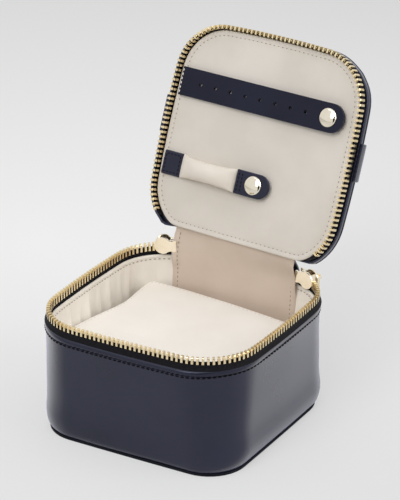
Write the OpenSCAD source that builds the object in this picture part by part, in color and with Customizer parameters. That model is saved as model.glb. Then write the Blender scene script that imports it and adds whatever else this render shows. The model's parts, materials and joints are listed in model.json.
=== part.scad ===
// Square zip case for jewellery: a padded box and a shallow lid, joined by a soft hinge at
// the back and by a metal zip with two sliders round the other three sides.
// X runs to the right, Y to the back, Z up; the origin is the middle of the base's underside.
// The lid is modelled shut and then swung open about the hinge line.

/* [Base] */
// Width and depth of the base panel
base_w = 108; // [100:1:114]
// Corner radius of the base panel
base_corner_r = 20; // [16:0.5:26]
// Thickness of the leather base panel
base_panel_t = 1.6; // [1:0.1:3]
// Thickness of the stiff board in the base
base_board_t = 1.5; // [1:0.1:3]

/* [Walls] */
// Height of the leather rim above the ground
rim_h = 57.3; // [50:0.5:70]
// How far the leather rim stands outside the zip teeth
rim_ledge = 2; // [1.6:0.1:3]
// Height of the rolled leather edge on the rim
welt_h = 2.5; // [1.5:0.1:4]
// Size of the step at the rim's outer top edge
welt_step = 0.4; // [0.2:0.05:0.6]
// Thickness of the outer leather
leather_t = 1.4; // [1:0.1:1.8]
// Thickness of the stiff board in the walls
wall_board_t = 1.2; // [0.8:0.1:1.4]
// Thickness of the padded wall lining
lining_t = 1.2; // [0.8:0.1:2]
// How far the wall board stops below the rim
board_drop = 5.6; // [5.2:0.1:8]

/* [Zip] */
// Width of the case over the outer faces of the zip teeth
zip_w = 114.6; // [110:0.2:118]
// Corner radius of the zip at the outer faces of its teeth
zip_corner_r = 28.5; // [22:0.5:32]
// Radius of the slight outward bow of each side
side_bow_r = 650; // [450:10:1500]
// Height of the body's tooth tips above the leather rim
zip_stand = 6.3; // [6:0.1:9]
// Gap between the two rows of tips with the lid down and the zip open
tip_gap = 0.3; // [0.2:0.1:2]
// Spacing of the teeth along the tape
tooth_pitch = 2.5; // [2.2:0.1:4]
// Width of a tooth's legs along the tape
tooth_w = 1.15; // [0.8:0.05:1.6]
// Thickness of a tooth through the tape
tooth_t = 2.2; // [1.8:0.1:2.4]
// Height of the two legs that grip the tape
leg_h = 2.2; // [1.6:0.1:2.6]
// Height of the head above the legs
head_h = 2; // [1.4:0.1:2.2]
// Thickness of the zip tape
tape_t = 0.6; // [0.4:0.05:0.7]
// Angle round each back corner at which the teeth end
teeth_end_angle = 44; // [30:1:44]
// Angle round each back corner at which the tape leaves the corner and enters the slider
tape_bend_angle = 56; // [52:1:57]

/* [Sliders] */
// Length of a slider
slider_l = 11.6; // [10:0.2:12]
// Height of a slider's plates across the teeth
slider_h = 9; // [8:0.2:9.2]
// Thickness of each slider plate
slider_plate_t = 1; // [0.8:0.1:1.4]
// Space between the two plates
slider_gap = 3.2; // [3:0.1:3.6]
// Turn of each slider from the back edge's direction
slider_yaw = 16; // [12:1:20]
// Distance of the slider's middle from the tape's bend
slider_shift = 3; // [2.6:0.1:3.4]
// Radius of the bridge bar that carries the pull
bar_r = 0.6; // [0.4:0.05:0.8]
// Distance from the outer plate to the bridge bar
bar_stand = 3; // [2.8:0.1:4]
// Length of the pull from the bar's middle to its tip
pull_l = 21; // [14:0.5:30]
// Width of the pull
pull_w = 6; // [5:0.2:7]
// Thickness of the pull
pull_t = 1.2; // [0.8:0.1:1.4]

/* [Lid] */
// Depth of the lid from its tooth tips to the top of the leather
lid_depth = 10; // [9.4:0.1:14]
// How far the lid's leather stands outside the zip teeth
lid_ledge = 0.6; // [0.4:0.1:1.5]
// How far the lid's top panel stands outside its wall
lid_panel_over = 0.2; // [0:0.05:0.5]
// How much nearer the middle the lid's teeth stand than those of the spread mouth
lid_inset = 1.5; // [0:0.1:1.8]
// Depth of the lining's face below the tooth tips
lining_recess = 3.7; // [3.5:0.1:4.5]
// Thickness of the lid's lining
lid_lining_t = 1; // [0.6:0.1:1.4]
// Thickness of the stiff board in the lid
lid_board_t = 1.4; // [1:0.1:1.8]
// Distance of the lid's straight back edge from the middle of the case
lid_back = 50.5; // [48:0.5:51]
// Width of the leather band across the lid's outside
band_w = 19; // [10:1:40]
// Distance of the band's middle line in front of the case's middle
band_forward = 4; // [-20:1:20]
// Thickness of the leather band
band_t = 1.2; // [0.8:0.1:1.6]

/* [Hinge] */
// Angle to which the lid opens
lid_open = 112; // [95:0.5:115]
// Turn of the open lid about the upright, let by the soft hinge
lid_turn = 5; // [0:0.5:6]
// Distance of the hinge line behind the middle of the case
hinge_back = 52.2; // [51:0.1:53]
// Height of the hinge line above the tops of the sliders
hinge_over_sliders = 3.2; // [2.7:0.1:4.2]
// Width of the outer hinge leather
hinge_leather_w = 66; // [40:1:68]
// Width of the inner hinge lining
hinge_lining_w = 67.6; // [40:1:67.8]
// Thickness of the inner hinge lining
hinge_lining_t = 1; // [0.6:0.1:1.2]

/* [Cushion] */
// Gap between the loose cushion's sides and the wall lining at the floor
pad_gap = 5.75; // [5.25:0.5:14.75]
// Height of the cushion
pad_h = 36.4; // [20:0.2:44]
// Turn of the cushion as it lies in the case
pad_turn = 4; // [0:0.5:5]
// Radius of the cushion's upright edges
pad_edge_r = 2; // [1:0.5:6]

/* [Earring strap] */
// Length of the strap from its sewn end to its round end
strap_l = 98.4; // [80:0.2:100]
// Width of the strap
strap_w = 14.6; // [11:0.2:18]
// Thickness of the strap's leather
strap_t = 1.6; // [1.2:0.1:2]
// Distance of the sewn end left of the middle
strap_left = 50.8; // [48:0.2:51]
// Distance of the strap's middle line in front of the middle
strap_forward = 22.4; // [18:0.2:30]
// Number of holes in the strap
hole_count = 8; // [2:1:9]
// Spacing of the holes
hole_pitch = 9.1; // [6:0.1:10]
// Radius of each hole
hole_r = 0.9; // [0.6:0.05:1.5]
// Distance of the first hole from the sewn end
hole_start = 12.3; // [8:0.1:16]

/* [Ring roll] */
// Distance of the roll's sewn tab left of the middle
roll_left = 51; // [46:0.2:51.4]
// Length of the sewn tab
roll_tab_l = 11.7; // [8:0.1:14]
// Length of the padded roll
roll_l = 33.6; // [20:0.2:36]
// Width of the flat ends of the roll and of both tabs
roll_w = 12.4; // [10:0.2:14]
// Diameter of the padded middle of the roll
roll_d = 9.2; // [7:0.2:10]
// Length of the tab that carries the snap
snap_tab_l = 20; // [16:0.2:24]
// Distance of the roll's middle line behind the middle of the case
roll_back = 19.8; // [10:0.2:24]

/* [Snaps] */
// Radius of a snap's cap
cap_r = 4.7; // [4:0.1:5.5]
// Height of the cap's domed face
dome_h = 1.1; // [0.6:0.1:1.6]
// Radius of the stud
stud_r = 1.9; // [1.4:0.05:2.2]
// Distance of a strap's underside from the lining at its snap
snap_stand = 1.9; // [1.8:0.05:2.6]

/* [Hidden] */

// Clearances: between pieces that lie on each other, and between sewn layers
seat = 0.05;
layer_gap = 0.1;
// A size past every edge, for cutting
far = 200;
// Thickness of the slices that a flared wall is stretched between
slice = 0.01;

// Zip outline
zip_half = zip_w / 2;
corner_c = ring_centre(zip_half, zip_corner_r, side_bow_r);
side_span = atan(corner_c / (corner_c + side_bow_r - zip_half));
tape_out = tooth_t / 2 - tape_t / 2;
tape_in = tooth_t / 2 + tape_t / 2;

// Heights in the body
base_half = base_w / 2;
wall_half = base_half - 0.2;
wall_bottom = base_panel_t + seat;
shell_top = rim_h - welt_h - layer_gap;
board_top = rim_h - board_drop;
floor_board_top = wall_bottom + base_board_t;
floor_z = floor_board_top + seat + lid_lining_t;
lining_bottom = floor_z + layer_gap;
tip_z = rim_h + zip_stand;
leg_bottom = tip_z - head_h - leg_h;
tape_top = leg_bottom + leg_h - layer_gap;
tape_bottom = board_top + layer_gap;
welt_foot = board_top + 2 * layer_gap;

// Heights in the lid, shut
lid_tip_z = tip_z + tip_gap;
lid_top_z = lid_tip_z + lid_depth;
lid_leg_top = lid_tip_z + head_h + leg_h;
lid_rim_z = lid_leg_top + 1.8;
lid_face_z = lid_tip_z + lining_recess;
lid_ceiling_z = lid_top_z - leather_t;
lid_board_z = lid_ceiling_z - seat - lid_board_t;
padding_z = lid_face_z + lid_lining_t + layer_gap;

// Hinge line, just above the sliders that the lid swings over
slider_top = lid_face_z - 0.3;
hinge_h = slider_top + hinge_over_sliders;

// Inner face of the wall lining at the floor, and the cushion inside it
lining_foot_inset = leather_t + wall_board_t + 2.5 * layer_gap;
pad_w = 2 * (wall_half - lining_foot_inset - lining_t - pad_gap);

// Slant of the hinge line that leaves the open lid slightly turned
slant = tan(lid_turn / 2);
hinge_dir = [1, -slant, slant / tan(lid_open / 2)];
hinge_swing = 2 * acos(cos(lid_turn / 2) * cos(lid_open / 2));
hinge_point = [0, hinge_back, hinge_h];

// Sliders
tape_r = zip_corner_r - tooth_t / 2;
bend_point = [corner_c + tape_r * cos(tape_bend_angle), corner_c + tape_r * sin(tape_bend_angle)];
slider_point = bend_point + slider_shift * [-cos(slider_yaw), sin(slider_yaw)];
slider_z = slider_top - slider_h / 2;
bar_n = slider_gap / 2 + slider_plate_t + bar_stand;
tail_l = slider_shift + slider_l / 2 - 0.4;

// Snap pieces, as distances from the lid's lining
rivet_r = 1.3;
socket_r = 3.6;
socket_roof = 0.2;
socket_low = 0.6;
stud_foot = 0.35;
strap_snap_x = strap_l - cap_r - 4.2;
strap_heel = 0.3;
strap_rise = atan((snap_stand - strap_heel) / strap_snap_x);
roll_heel = 2;

// Colours
navy = [0.13, 0.14, 0.2];
tape_black = [0.05, 0.05, 0.07];
beige = [0.82, 0.77, 0.71];
cream = [0.93, 0.9, 0.86];
gold = [0.85, 0.72, 0.45];
board_grey = [0.55, 0.52, 0.47];

// Middle of a corner arc that runs smoothly into two bowed sides
function ring_centre(half, r, bow) =
    (sqrt(2 * pow(bow - r, 2) - pow(bow - half, 2)) - (bow - half)) / 2;

// Depth of the zip outline at a distance from the middle line, at an inset
function outline_y(inset, x) =
    x < corner_c
        ? zip_half - side_bow_r + sqrt(pow(side_bow_r - inset, 2) - x * x)
        : corner_c + sqrt(pow(zip_corner_r - inset, 2) - pow(x - corner_c, 2));

// Square with bowed sides and round corners; smooth sets how fine its arcs are drawn
module bowed_square(half, r, bow, smooth = 1) {
    c = ring_centre(half, r, bow);
    span = atan(c / (c + bow - half));
    ray_a = (r + half) * [cos(span), sin(span)];
    ray_b = (r + half) * [sin(span), cos(span)];
    square(2 * c, center = true);
    for (turn = [0:90:270])
        rotate(turn) {
            intersection() {
                translate([half - bow, 0])
                    circle(r = bow, $fn = 720 * smooth);
                polygon([[c, -c], [c, -c] + [ray_a[0], -ray_a[1]], [c, c] + ray_a, [c, c]]);
            }
            intersection() {
                translate([c, c])
                    circle(r = r, $fn = 128 * smooth);
                polygon([[c, c], [c, c] + ray_a, [c, c] + ray_a + ray_b, [c, c] + ray_b]);
            }
        }
}

// Square with straight sides and round corners
module round_square(half, r) {
    square([2 * half, 2 * (half - r)], center = true);
    square([2 * (half - r), 2 * half], center = true);
    for (x = [-1, 1], y = [-1, 1])
        translate([x * (half - r), y * (half - r)])
            circle(r = r, $fn = 96);
}

// Region inside the zip's outer face, moved in by an inset (a negative inset moves it out)
module zip_region(inset, smooth = 1) {
    bowed_square(zip_half - inset, zip_corner_r - inset, side_bow_r - inset, smooth);
}

// Upright ring between two insets
module zip_ring(inset_out, inset_in, z_low, z_high) {
    translate([0, 0, z_low])
        linear_extrude(z_high - z_low)
            difference() {
                zip_region(inset_out);
                zip_region(inset_in);
            }
}

// Solid that widens from the base outline to the zip outline
module flared_block(low_inset, high_inset, z_low, z_high) {
    flare = (z_high - wall_bottom) / (shell_top - wall_bottom);
    start = (z_low - wall_bottom) / (shell_top - wall_bottom);
    hull() {
        flared_slice(low_inset, start, z_low);
        flared_slice(high_inset, flare, z_high - slice);
    }
}

// One level of the flared walls: share 0 is the base outline, share 1 the rim outline
module flared_slice(inset, share, z) {
    half = wall_half + share * (zip_half + rim_ledge - wall_half) - inset;
    r = base_corner_r + share * (zip_corner_r + rim_ledge - base_corner_r) - inset;
    translate([0, 0, z])
        linear_extrude(slice)
            bowed_square(half, r, side_bow_r / max(share, 0.2), 0.5);
}

// Swing from the shut lid to the open lid
module opened() {
    translate(hinge_point)
        rotate(a = -hinge_swing, v = hinge_dir)
            translate(-hinge_point)
                children();
}

// Place on the lid's lining: x and y as in the case, z away from the lining into the case
module on_lining(x, y) {
    opened()
        translate([x, y, lid_face_z])
            mirror([0, 0, 1])
                children();
}

// Keep what lies in front of a straight back edge
module front_of(back) {
    intersection() {
        children();
        translate([-far / 2, -far / 2])
            square([far, far / 2 + back]);
    }
}

// Region past the end of the zip at both back corners
module zip_back_region(end_angle) {
    reach = far * [cos(end_angle), sin(end_angle)];
    polygon([[corner_c, corner_c], [corner_c, corner_c] + reach, [0, far],
        [-corner_c - reach[0], corner_c + reach[1]], [-corner_c, corner_c]]);
}

module base_panel() {
    color(navy)
        linear_extrude(base_panel_t)
            round_square(base_half, base_corner_r);
}

module base_board() {
    color(board_grey)
        translate([0, 0, wall_bottom])
            linear_extrude(base_board_t)
                floor_region();
}

// Floor area between the wall boards
module floor_region() {
    edge = leather_t + wall_board_t + 5 * layer_gap;
    round_square(wall_half - edge, base_corner_r - edge);
}

module floor_lining() {
    color(beige)
        translate([0, 0, floor_board_top + seat])
            linear_extrude(lid_lining_t)
                floor_region();
}

module body_shell() {
    color(navy)
        difference() {
            flared_block(0, 0, wall_bottom, shell_top);
            flared_block(leather_t, leather_t, wall_bottom - 1, shell_top + 1);
        }
}

module body_board() {
    outer = leather_t + seat;
    inner = outer + wall_board_t;
    color(board_grey)
        difference() {
            flared_block(outer, outer, wall_bottom, board_top);
            flared_block(inner, inner, wall_bottom - 1, board_top + 1);
        }
}

// Turned leather edge on the rim, with a leg tucked between the leather wall and the tape
module body_welt() {
    leg_out = rim_ledge - leather_t - 5 * layer_gap;
    color(navy) {
        zip_ring(-leg_out, tape_out - seat, welt_foot, rim_h - welt_h);
        zip_ring(-rim_ledge, tape_out - seat, rim_h - welt_h, rim_h - welt_step);
        zip_ring(welt_step - rim_ledge, tape_out - seat, rim_h - welt_step, rim_h);
    }
}

// Padded lining of the walls, from the floor to just under the zip's teeth
module body_lining() {
    color(beige)
        difference() {
            lining_block(0, lining_bottom, rim_h);
            lining_block(lining_t, lining_bottom - 1, rim_h + 1);
        }
}

module lining_block(inset, z_low, z_high) {
    foot_inset = lining_foot_inset + inset;
    hull() {
        flared_slice(foot_inset, 0, z_low);
        translate([0, 0, z_high - slice])
            linear_extrude(slice)
                zip_region(tape_in + 2 * layer_gap + inset, 0.5);
    }
}

module cushion_pad() {
    color(cream)
        translate([0, 0, floor_z + 3 * layer_gap])
            rotate([0, 0, -pad_turn])
                linear_extrude(pad_h)
                    round_square(pad_w / 2, pad_edge_r);
}

// The body's tape runs round the rim and straight on through each slider
module body_zip_tape() {
    tail_bottom = rim_h + layer_gap;
    color(tape_black) {
        translate([0, 0, tape_bottom])
            linear_extrude(tail_bottom - tape_bottom)
                tape_ring();
        translate([0, 0, tail_bottom])
            linear_extrude(tape_top - tail_bottom) {
                tape_ring();
                for (side = [0, 1])
                    mirror([side, 0])
                        translate(bend_point)
                            rotate(180 - slider_yaw) {
                                circle(r = 0.6 * tape_t, $fn = 32);
                                translate([0, -tape_t / 2])
                                    square([tail_l, tape_t]);
                            }
            }
    }
}

module tape_ring() {
    difference() {
        zip_region(tape_out);
        zip_region(tape_in);
        zip_back_region(tape_bend_angle);
    }
}

module lid_zip_tape() {
    color(tape_black)
        opened()
            translate([0, 0, lid_leg_top - leg_h + layer_gap])
                linear_extrude(lid_ceiling_z - seat - lid_leg_top + leg_h - layer_gap)
                    difference() {
                        zip_region(lid_inset + tape_out);
                        zip_region(lid_inset + tape_in);
                        zip_back_region(teeth_end_angle + 2);
                    }
}

// Path of the teeth from the middle of the front, at an inset from the body's outline and by
// the distance along it: [x, y, facing angle]
function path_side_r(inset) = side_bow_r - tooth_t / 2 - inset;
function path_corner_r(inset) = zip_corner_r - tooth_t / 2 - inset;
function arc_length(r, angle) = r * angle * PI / 180;
function arc_point(centre, r, start, s) =
    let (angle = start + s / r * 180 / PI)
    [centre[0] + r * cos(angle), centre[1] + r * sin(angle), angle];
function path_length(inset) =
    3 * arc_length(path_side_r(inset), side_span)
    + arc_length(path_corner_r(inset), 90 - 2 * side_span + teeth_end_angle - side_span);
function path_point(inset, s) =
    let (
        side = path_side_r(inset),
        corner = path_corner_r(inset),
        front_end = arc_length(side, side_span),
        corner_end = front_end + arc_length(corner, 90 - 2 * side_span),
        side_end = corner_end + 2 * front_end
    )
    s < front_end ? arc_point([0, side_bow_r - zip_half], side, -90, s)
    : s < corner_end
        ? arc_point([corner_c, -corner_c], corner, side_span - 90, s - front_end)
    : s < side_end
        ? arc_point([zip_half - side_bow_r, 0], side, -side_span, s - corner_end)
    : arc_point([corner_c, corner_c], corner, side_span, s - side_end);

// One tooth: two legs that grip the tape's edge, and a round-topped head with a nib on one
// face and a matching hollow in the other; z runs from the feet to the tip
module tooth() {
    slot = tape_t / 2 + seat;
    head_w = tooth_w - 0.15;
    crown_r = tooth_t / 2 - 0.35;
    nib_r = 0.36;
    nib_z = leg_h + head_h * 0.42;
    difference() {
        union() {
            for (side = [-1, 1])
                translate([side * (tooth_t / 2 + slot) / 2, 0, leg_h / 2])
                    cube([tooth_t / 2 - slot, tooth_w, leg_h], center = true);
            translate([0, 0, leg_h])
                rotate([90, 0, 0])
                    linear_extrude(head_w, center = true)
                        intersection() {
                            translate([-tooth_t / 2, 0])
                                square([tooth_t, head_h]);
                            union() {
                                translate([-tooth_t / 2, 0])
                                    square([tooth_t, head_h - crown_r]);
                                translate([0, head_h - crown_r])
                                    scale([tooth_t / 2, tooth_t / 2])
                                        circle(r = 1, $fn = 32);
                            }
                        }
            translate([0, head_w / 2, nib_z])
                rotate([-90, 0, 0])
                    cylinder(r1 = nib_r, r2 = nib_r * 0.6, h = 0.25, $fn = 16);
        }
        translate([0, -head_w / 2 - seat, nib_z])
            rotate([-90, 0, 0])
                cylinder(r = nib_r + seat, h = 0.3, $fn = 16);
    }
}

// Row of teeth on both halves of the path; shift 0.5 leaves the middle of the front free
module teeth_row(inset, shift) {
    last = floor((path_length(inset) - tooth_w) / tooth_pitch - shift);
    for (side = [0, 1])
        mirror([side, 0, 0])
            for (i = [(shift == 0 ? side : 0):last]) {
                p = path_point(inset, (i + shift) * tooth_pitch);
                translate([p[0], p[1], 0])
                    rotate([0, 0, p[2]])
                        children();
            }
}

module body_zip_teeth() {
    color(gold)
        translate([0, 0, leg_bottom])
            teeth_row(0, 0.5)
                tooth();
}

module lid_zip_teeth() {
    color(gold)
        opened()
            translate([0, 0, lid_leg_top])
                teeth_row(lid_inset, 0)
                    mirror([0, 0, 1])
                        tooth();
}

// Place on a slider: x along it towards the hinge, y out of the case, z up from its middle
module at_slider() {
    translate([slider_point[0], slider_point[1], slider_z])
        rotate([0, 0, -slider_yaw])
            mirror([1, 0, 0])
                children();
}

// Outline of a slider plate: round shoulders where the tapes come in, and a narrower neck
module slider_outline() {
    shoulder_r = slider_h / 2;
    neck_h = slider_h * 0.72;
    waist_r = 3;
    difference() {
        union() {
            translate([shoulder_r - slider_l / 2, 0])
                circle(r = shoulder_r, $fn = 64);
            translate([0, -neck_h / 2])
                square([slider_l / 2, neck_h]);
            translate([shoulder_r - slider_l / 2, -neck_h / 2])
                square([slider_l / 2, neck_h]);
        }
        for (side = [-1, 1])
            translate([slider_l / 2 - 2.6, side * (neck_h / 2 + waist_r - 0.45)])
                circle(r = waist_r, $fn = 48);
    }
}

module slider_plate() {
    rotate([90, 0, 0])
        linear_extrude(slider_plate_t)
            slider_outline();
}

// Slider: two plates held apart by a post at the shoulders, flanges that guide the tapes at
// the neck, and a bridge that carries the pull
module slider() {
    flange_slot = tape_t / 2 + 0.15;
    flange_t = slider_gap / 2 - flange_slot;
    post_x = 1.5 - slider_l / 2;
    post_low = tape_top + 2 * layer_gap - slider_z;
    post_high = lid_leg_top - leg_h - layer_gap - slider_z;
    bridge_x = pull_w / 2 + 0.3;
    bridge_t = 1.1;
    translate([0, -slider_gap / 2, 0])
        slider_plate();
    translate([0, slider_gap / 2 + slider_plate_t, 0])
        slider_plate();
    translate([post_x, 0, (post_low + post_high) / 2])
        cube([1.2, slider_gap + slider_plate_t, post_high - post_low], center = true);
    for (side = [-1, 1], face = [-1, 1])
        translate([slider_l / 2 - 2.6, face * (slider_gap / 2 - flange_t / 2),
                side * (slider_h * 0.36 - 0.9)])
            cube([2.4, flange_t + seat, 0.9], center = true);
    for (end = [-1, 1])
        translate([end * (bridge_x + bridge_t / 2),
                slider_gap / 2 + slider_plate_t + bar_stand / 2 - seat, 0])
            cube([bridge_t, bar_stand + 2 * seat, 2 * bar_r], center = true);
    translate([0, bar_n, 0])
        rotate([0, 90, 0])
            cylinder(r = bar_r, h = 2 * (bridge_x + bridge_t), center = true, $fn = 32);
}

// Pull: a barrel that turns on the bridge bar and a plain tab that hangs from it
module pull() {
    barrel_r = bar_r + 0.25 + 0.45;
    tip_r = pull_w / 2;
    translate([0, bar_n, 0])
        difference() {
            union() {
                rotate([0, 90, 0])
                    cylinder(r = barrel_r, h = pull_w, center = true, $fn = 48);
                rotate([90, 0, 0])
                    linear_extrude(pull_t, center = true) {
                        translate([-pull_w / 2, tip_r - pull_l])
                            square([pull_w, pull_l - tip_r]);
                        translate([0, tip_r - pull_l])
                            circle(r = tip_r, $fn = 48);
                    }
            }
            rotate([0, 90, 0])
                cylinder(r = bar_r + 0.08, h = pull_w + 1, center = true, $fn = 48);
            translate([0, 0, tip_r - pull_l])
                rotate([90, 0, 0])
                    cylinder(r = tip_r * 0.4, h = pull_t + 1, center = true, $fn = 32);
        }
}

module right_slider() {
    color(gold)
        at_slider()
            slider();
}

module left_slider() {
    color(gold)
        mirror([1, 0, 0])
            at_slider()
                slider();
}

module right_pull() {
    color(gold)
        at_slider()
            pull();
}

module left_pull() {
    color(gold)
        mirror([1, 0, 0])
            at_slider()
                pull();
}

// Outer hinge leather: rises from the back of the rim, bows out and meets the lid's back
module hinge_leather() {
    foot = zip_half - tape_out + 0.2;
    top = hinge_h + 6;
    bulge = 0.9;
    color(navy)
        difference() {
            translate([-hinge_leather_w / 2, 0, 0])
                rotate([90, 0, 90])
                    linear_extrude(hinge_leather_w)
                        polygon([[foot, rim_h + seat], [foot + leather_t, rim_h + seat],
                            [foot + leather_t + bulge, rim_h + 6],
                            [foot + leather_t, hinge_h], [foot - 1, top],
                            [foot - 1 - leather_t, top], [foot, hinge_h - 0.5],
                            [foot + bulge, rim_h + 6]]);
            opened()
                translate([-far / 2, lid_back + layer_gap - far, -far / 2])
                    cube(far);
        }
}

// Inner hinge lining: lies on the back wall's lining and runs up to the lid's lining
module hinge_lining() {
    rim_y = outline_y(tape_in + lining_t + 4 * layer_gap, hinge_lining_w / 2);
    foot_y = wall_half - leather_t - wall_board_t - lining_t - 8 * layer_gap;
    t = hinge_lining_t;
    color(beige)
        difference() {
            translate([-hinge_lining_w / 2, 0, 0])
                rotate([90, 0, 90])
                    linear_extrude(hinge_lining_w)
                        polygon([[foot_y - t, lining_bottom], [foot_y, lining_bottom],
                            [rim_y, rim_h], [rim_y - 0.4, rim_h + 7], [rim_y - 1.6, hinge_h],
                            [rim_y - 2.6, hinge_h + 6], [rim_y - 2.6 - t, hinge_h + 6],
                            [rim_y - 1.6 - t, hinge_h], [rim_y - 0.4 - t, rim_h + 7],
                            [rim_y - t, rim_h]]);
            opened()
                translate([-far / 2, lid_back + layer_gap - far, -far / 2])
                    cube(far);
        }
}

// Low leather wall round the lid, with a straight back
module lid_gusset() {
    color(navy)
        opened()
            translate([0, 0, lid_rim_z])
                linear_extrude(lid_ceiling_z - lid_rim_z)
                    difference() {
                        front_of(lid_back)
                            zip_region(lid_inset - lid_ledge);
                        front_of(lid_back - leather_t)
                            zip_region(lid_inset + tape_out - seat);
                    }
}

// Flat leather top of the lid, whose edge stands a little outside the wall
module lid_top_panel() {
    color(navy)
        opened()
            translate([0, 0, lid_ceiling_z + seat])
                linear_extrude(lid_top_z - lid_ceiling_z - seat)
                    front_of(lid_back)
                        zip_region(lid_inset - lid_ledge - lid_panel_over);
}

// Leather band across the top of the lid, turned down over both side edges
module lid_band() {
    half_in = zip_half - lid_inset + lid_ledge + lid_panel_over + layer_gap;
    top_in = lid_top_z + seat;
    color(navy)
        opened()
            translate([0, band_w / 2 - band_forward, 0])
                rotate([90, 0, 0])
                    linear_extrude(band_w)
                        difference() {
                            band_outline(half_in + band_t, top_in + band_t, band_t);
                            translate([-half_in, lid_rim_z - 1])
                                square([2 * half_in, top_in - lid_rim_z + 1]);
                        }
}

module band_outline(half, top, r) {
    translate([-half, lid_rim_z])
        square([2 * half, top - r - lid_rim_z]);
    translate([r - half, lid_rim_z])
        square([2 * (half - r), top - lid_rim_z]);
    for (side = [-1, 1])
        translate([side * (half - r), top - r])
            circle(r = r, $fn = 64);
}

module lid_board() {
    color(board_grey)
        opened()
            translate([0, 0, lid_board_z])
                linear_extrude(lid_board_t)
                    front_of(lid_back - leather_t - layer_gap)
                        zip_region(lid_inset + tape_in + layer_gap);
}

module lid_padding() {
    color(cream)
        opened()
            translate([0, 0, padding_z])
                linear_extrude(lid_board_z - layer_gap - padding_z)
                    front_of(lid_back - leather_t - layer_gap)
                        zip_region(lid_inset + tape_in + 2 * layer_gap);
}

module lid_lining() {
    color(beige)
        opened()
            translate([0, 0, lid_face_z])
                linear_extrude(lid_lining_t)
                    front_of(lid_back - 0.5)
                        zip_region(lid_inset + tooth_t + 0.4);
}

// Strap for earrings: sewn at its left end, a row of holes, and a round end on a snap
module earring_strap() {
    color(navy)
        on_lining(-strap_left, -strap_forward)
            strap_body();
}

module strap_body() {
    translate([0, 0, strap_heel])
        rotate([0, -strap_rise, 0])
            difference() {
                linear_extrude(strap_t) {
                    translate([0, -strap_w / 2])
                        square([strap_l - strap_w / 2, strap_w]);
                    translate([strap_l - strap_w / 2, 0])
                        circle(r = strap_w / 2, $fn = 64);
                }
                for (i = [0:hole_count - 1])
                    translate([hole_start + i * hole_pitch, 0, -1])
                        cylinder(r = hole_r, h = strap_t + 2, $fn = 24);
                translate([strap_snap_x, 0, -1])
                    cylinder(r = rivet_r + seat, h = strap_t + 2, $fn = 32);
            }
}

// Snap cap with its rivet; z = 0 is the strap's underside
module snap_cap() {
    rim_t = 0.4;
    dome_r = (cap_r * cap_r + dome_h * dome_h) / (2 * dome_h);
    translate([0, 0, strap_t + 0.02])
        cylinder(r = cap_r, h = rim_t, $fn = 96);
    intersection() {
        translate([0, 0, strap_t + rim_t + dome_h - dome_r])
            sphere(r = dome_r, $fn = 128);
        translate([0, 0, strap_t + rim_t])
            cylinder(r = cap_r, h = dome_h + 1, $fn = 96);
    }
    cylinder(r = rivet_r, h = strap_t + rim_t, $fn = 48);
}

// Snap socket; z = 0 is the strap's underside and the socket hangs below it
module snap_socket() {
    drop = snap_stand - socket_low;
    translate([0, 0, -drop])
        difference() {
            cylinder(r = socket_r, h = drop - 0.02, $fn = 64);
            translate([0, 0, -1])
                cylinder(r = stud_r + 0.2, h = drop + 1 - socket_roof, $fn = 64);
        }
}

// Snap stud; z = 0 is the lining
module snap_stud() {
    stud_top = snap_stand - socket_roof - 2 * layer_gap;
    translate([0, 0, seat])
        cylinder(r = socket_r - 0.2, h = stud_foot - seat, $fn = 64);
    translate([0, 0, seat])
        cylinder(r = stud_r, h = stud_top - seat, $fn = 64);
}

module earring_strap_snap_cap() {
    color(gold)
        on_lining(-strap_left, -strap_forward)
            translate([0, 0, strap_heel])
                rotate([0, -strap_rise, 0])
                    translate([strap_snap_x, 0, 0])
                        snap_cap();
}

module earring_strap_snap_socket() {
    color(gold)
        on_lining(-strap_left, -strap_forward)
            translate([0, 0, strap_heel])
                rotate([0, -strap_rise, 0])
                    translate([strap_snap_x, 0, 0])
                        snap_socket();
}

module earring_strap_snap_stud() {
    color(gold)
        on_lining(strap_snap_x - strap_left, -strap_forward)
            snap_stud();
}

// Ring roll: a sewn tab at the left, the padded roll, and a tab with a snap at the right
roll_start = roll_tab_l + 0.2;
snap_tab_start = roll_start + roll_l + 0.1;
snap_tab_x = snap_tab_l - roll_w / 2 - 3;

module ring_roll_tab() {
    color(navy)
        on_lining(-roll_left, roll_back)
            translate([0, -roll_w / 2, seat])
                cube([roll_tab_l, roll_w, roll_heel - 2 * seat]);
}

module ring_roll() {
    end_l = 0.5;
    middle_l = roll_l * 0.5;
    color(cream)
        on_lining(-roll_left + roll_start, roll_back)
            hull() {
                translate([0, -roll_w / 2, 0.5])
                    cube([end_l, roll_w, roll_heel - 0.3]);
                translate([(roll_l - middle_l) / 2, 0, 0.3 + roll_d / 2])
                    rotate([0, 90, 0])
                        cylinder(r = roll_d / 2, h = middle_l, $fn = 32);
                translate([roll_l - end_l, -roll_w / 2, snap_stand])
                    cube([end_l, roll_w, strap_t]);
            }
}

module ring_roll_snap_tab() {
    color(navy)
        on_lining(-roll_left + snap_tab_start, roll_back)
            translate([0, 0, snap_stand])
                linear_extrude(strap_t)
                    difference() {
                        union() {
                            translate([0, -roll_w / 2])
                                square([snap_tab_l - roll_w / 2, roll_w]);
                            translate([snap_tab_l - roll_w / 2, 0])
                                circle(r = roll_w / 2, $fn = 64);
                        }
                        translate([snap_tab_x, 0])
                            circle(r = rivet_r + seat, $fn = 32);
                    }
}

module ring_roll_snap_cap() {
    color(gold)
        on_lining(-roll_left + snap_tab_start + snap_tab_x, roll_back)
            translate([0, 0, snap_stand])
                snap_cap();
}

module ring_roll_snap_socket() {
    color(gold)
        on_lining(-roll_left + snap_tab_start + snap_tab_x, roll_back)
            translate([0, 0, snap_stand])
                snap_socket();
}

module ring_roll_snap_stud() {
    color(gold)
        on_lining(-roll_left + snap_tab_start + snap_tab_x, roll_back)
            snap_stud();
}

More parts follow.
